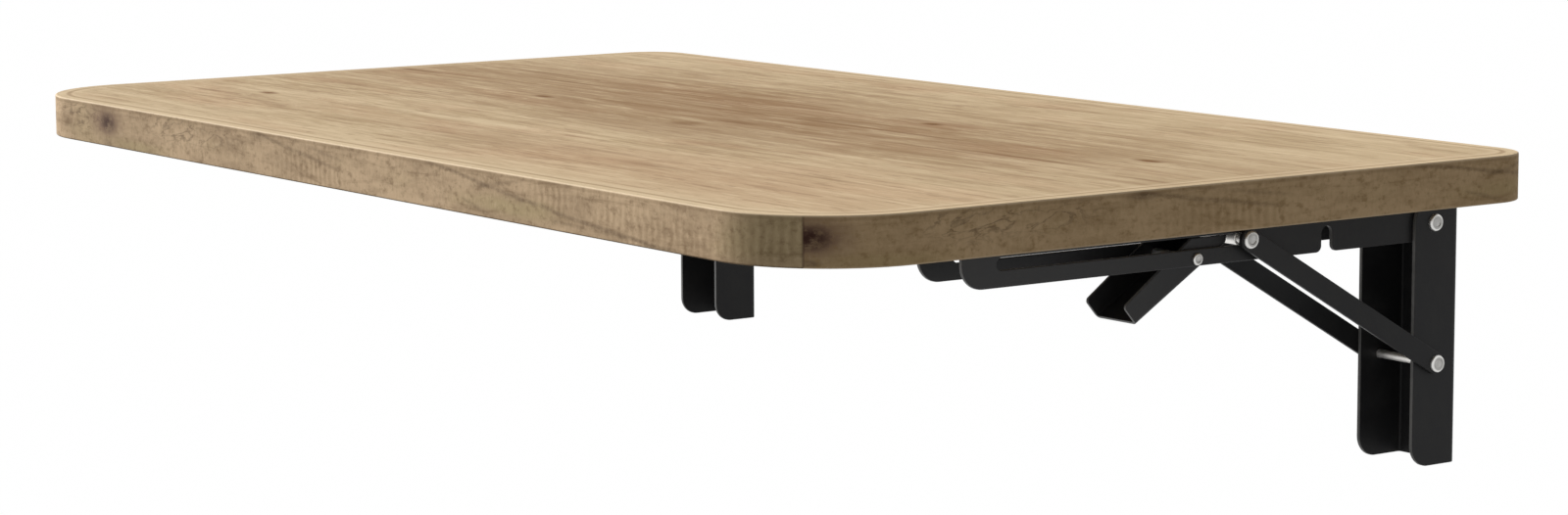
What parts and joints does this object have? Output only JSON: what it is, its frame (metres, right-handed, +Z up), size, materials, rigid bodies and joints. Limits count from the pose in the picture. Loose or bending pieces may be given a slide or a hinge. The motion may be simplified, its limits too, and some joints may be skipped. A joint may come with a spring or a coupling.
{
  "type": "wall mounted drop leaf table",
  "caption": "Rounded wood board on folding steel wall brackets with slotted arms, diagonal struts and press-up release levers; the leaf drops flat against the wall.",
  "frame": {"origin": "centre of the four outer wall holes, on the wall plane", "axes": "+X along the wall, +Y into the wall, +Z up; the open leaf reaches out along -Y"},
  "size_m": [0.7, 0.4105, 0.148],
  "materials": {
    "board_face": "matt oak-look face",
    "board_edge": "matt sawn-look edge",
    "black_steel": "satin black powder coat on bent sheet steel",
    "rivet_steel": "bright zinc plated steel"
  },
  "bodies": {
    "wall": {"wall_leg_left": "black_steel", "corner_pin_left": "rivet_steel", "strut_axle_left": "rivet_steel", "wall_leg_right": "black_steel", "corner_pin_right": "rivet_steel", "strut_axle_right": "rivet_steel"},
    "leaf": {"table_top": "board_face", "edge_band": "board_edge", "arm_left": "black_steel", "board_screws_left": "rivet_steel", "lever_pin_left": "rivet_steel", "axle_sleeve_left": "rivet_steel", "arm_right": "black_steel", "board_screws_right": "rivet_steel", "lever_pin_right": "rivet_steel", "axle_sleeve_right": "rivet_steel"},
    "strut_left": {"strut_link_outer_left": "black_steel", "strut_link_inner_left": "black_steel", "strut_rivets_left": "rivet_steel"},
    "slider_left": {"slide_pins_left": "rivet_steel"},
    "lever_left": {"release_lever_left": "black_steel"},
    "strut_right": {"strut_link_outer_right": "black_steel", "strut_link_inner_right": "black_steel", "strut_rivets_right": "rivet_steel"},
    "slider_right": {"slide_pins_right": "rivet_steel"},
    "lever_right": {"release_lever_right": "black_steel"}
  },
  "joints": [
    {"name": "leaf_fold", "type": "hinge", "parent": "wall", "child": "leaf", "pos_m": [0, -0.0155, 0.0531], "axis": [1, 0, 0], "range_deg": [0, 90]},
    {"name": "strut_swing_left", "type": "hinge", "parent": "wall", "child": "strut_left", "pos_m": [-0.278, -0.0155, -0.0115], "axis": [1, 0, 0], "range_deg": [0, 119.35]},
    {"name": "axle_slide_left", "type": "slide", "parent": "leaf", "child": "slider_left", "axis": [0, -1, 0], "range_m": [0, 0.08234]},
    {"name": "lever_press_left", "type": "hinge", "parent": "leaf", "child": "lever_left", "pos_m": [-0.278, -0.1568, 0.0478], "axis": [-1, 0, 0], "range_deg": [0, 32]},
    {"name": "strut_swing_right", "type": "hinge", "parent": "wall", "child": "strut_right", "pos_m": [0.278, -0.0155, -0.0115], "axis": [1, 0, 0], "range_deg": [0, 119.35]},
    {"name": "axle_slide_right", "type": "slide", "parent": "leaf", "child": "slider_right", "axis": [0, -1, 0], "range_m": [0, 0.08234]},
    {"name": "lever_press_right", "type": "hinge", "parent": "leaf", "child": "lever_right", "pos_m": [0.278, -0.1568, 0.0478], "axis": [-1, 0, 0], "range_deg": [0, 32]}
  ],
  "couplings": [
    {"joint": "strut_swing_left", "follows": "leaf_fold", "ratio": 1.3256},
    {"joint": "axle_slide_left", "follows": "leaf_fold", "m_per_rad": 0.052409},
    {"joint": "strut_swing_right", "follows": "leaf_fold", "ratio": 1.3256},
    {"joint": "axle_slide_right", "follows": "leaf_fold", "m_per_rad": 0.052409}
  ]
}
